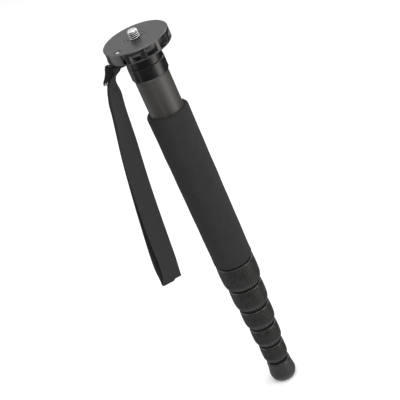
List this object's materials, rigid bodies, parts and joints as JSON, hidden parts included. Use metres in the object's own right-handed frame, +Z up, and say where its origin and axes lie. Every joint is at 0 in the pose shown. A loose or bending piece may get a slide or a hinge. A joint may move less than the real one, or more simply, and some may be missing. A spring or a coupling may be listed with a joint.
{
  "type": "camera monopod",
  "caption": "Folding camera monopod with nested carbon tubes, ribbed twist-lock rings, foam grip, round plate with a camera stud, webbing wrist strap and rubber foot.",
  "frame": {"origin": "middle of the flat under the rubber foot", "axes": "+Z up along the tubes towards the camera, -X towards the strap screw in the camera plate"},
  "size_m": [0.1002, 0.0611, 0.4061],
  "materials": {
    "plate_metal": "satin grey anodised",
    "stud_steel": "bright machined",
    "neck_black": "satin black anodised",
    "collar_gloss": "glossy black",
    "carbon": "carbon fibre under satin lacquer",
    "grip_foam": "matt closed-cell foam",
    "ring_rubber": "satin ribbed rubber",
    "foot_rubber": "smooth rubber",
    "ring_metal": "dark anodised",
    "collet_plastic": "natural acetal",
    "shim_plastic": "black acetal",
    "foot_metal": "machined",
    "link_steel": "stamped steel",
    "webbing": "black nylon webbing"
  },
  "bodies": {
    "upper": {"camera_plate": "plate_metal", "neck_plug": "neck_black", "top_collar": "collar_gloss", "tube_1": "carbon", "foam_grip": "grip_foam", "ferrule_1": "ring_metal", "collet_1": "collet_plastic", "strap_screw": "stud_steel"},
    "stud": {"camera_stud": "stud_steel"},
    "lock_1": {"lock_ring_1": "ring_metal", "ring_grip_1": "ring_rubber"},
    "lock_2": {"lock_ring_2": "ring_metal", "ring_grip_2": "ring_rubber"},
    "lock_3": {"lock_ring_3": "ring_metal", "ring_grip_3": "ring_rubber"},
    "lock_4": {"lock_ring_4": "ring_metal", "ring_grip_4": "ring_rubber"},
    "lock_5": {"lock_ring_5": "ring_metal", "ring_grip_5": "ring_rubber"},
    "section_2": {"tube_2": "carbon", "guide_shims_2": "shim_plastic", "ferrule_2": "ring_metal", "collet_2": "collet_plastic"},
    "section_3": {"tube_3": "carbon", "guide_shims_3": "shim_plastic", "ferrule_3": "ring_metal", "collet_3": "collet_plastic"},
    "section_4": {"tube_4": "carbon", "guide_shims_4": "shim_plastic", "ferrule_4": "ring_metal", "collet_4": "collet_plastic"},
    "section_5": {"tube_5": "carbon", "guide_shims_5": "shim_plastic", "ferrule_5": "ring_metal", "collet_5": "collet_plastic"},
    "section_6": {"tube_6": "carbon", "guide_shims_6": "shim_plastic", "foot_plug": "foot_metal", "foot_stud": "stud_steel"},
    "foot": {"rubber_foot": "foot_rubber", "foot_nut": "stud_steel"},
    "link": {"strap_link": "link_steel"},
    "strap": {"strap_webbing": "webbing", "strap_sewn_end": "webbing"}
  },
  "joints": [
    {"name": "camera_stud_turn", "type": "hinge", "parent": "upper", "child": "stud", "pos_m": [0, 0, 0.3981], "axis": [0, 0, 1], "continuous": true},
    {"name": "lock_1_turn", "type": "hinge", "parent": "upper", "child": "lock_1", "pos_m": [0, 0, 0.1235], "axis": [0, 0, 1], "range_deg": [0, 120]},
    {"name": "lock_2_turn", "type": "hinge", "parent": "section_2", "child": "lock_2", "pos_m": [0, 0, 0.0963], "axis": [0, 0, 1], "range_deg": [0, 120]},
    {"name": "lock_3_turn", "type": "hinge", "parent": "section_3", "child": "lock_3", "pos_m": [0, 0, 0.0714], "axis": [0, 0, 1], "range_deg": [0, 120]},
    {"name": "lock_4_turn", "type": "hinge", "parent": "section_4", "child": "lock_4", "pos_m": [0, 0, 0.0473], "axis": [0, 0, 1], "range_deg": [0, 120]},
    {"name": "lock_5_turn", "type": "hinge", "parent": "section_5", "child": "lock_5", "pos_m": [0, 0, 0.0242], "axis": [0, 0, 1], "range_deg": [0, 120]},
    {"name": "section_2_slide", "type": "slide", "parent": "section_2", "child": "upper", "axis": [0, 0, 1], "range_m": [0, 0.188]},
    {"name": "section_3_slide", "type": "slide", "parent": "section_3", "child": "section_2", "axis": [0, 0, 1], "range_m": [0, 0.214]},
    {"name": "section_4_slide", "type": "slide", "parent": "section_4", "child": "section_3", "axis": [0, 0, 1], "range_m": [0, 0.237]},
    {"name": "section_5_slide", "type": "slide", "parent": "section_5", "child": "section_4", "axis": [0, 0, 1], "range_m": [0, 0.26]},
    {"name": "section_6_slide", "type": "slide", "parent": "section_6", "child": "section_5", "axis": [0, 0, 1], "range_m": [0, 0.281]},
    {"name": "foot_turn", "type": "hinge", "parent": "section_6", "child": "foot", "pos_m": [0, 0, 0], "axis": [0, 0, 1], "continuous": true},
    {"name": "strap_swivel", "type": "hinge", "parent": "upper", "child": "link", "pos_m": [-0.0245, 0, 0.3862], "axis": [0, 0, 1], "range_deg": [-15, 25]},
    {"name": "strap_swing", "type": "hinge", "parent": "link", "child": "strap", "pos_m": [-0.0245, 0.012, 0.3823], "axis": [-0.9397, 0.342, 0], "range_deg": [-80, 80]}
  ]
}
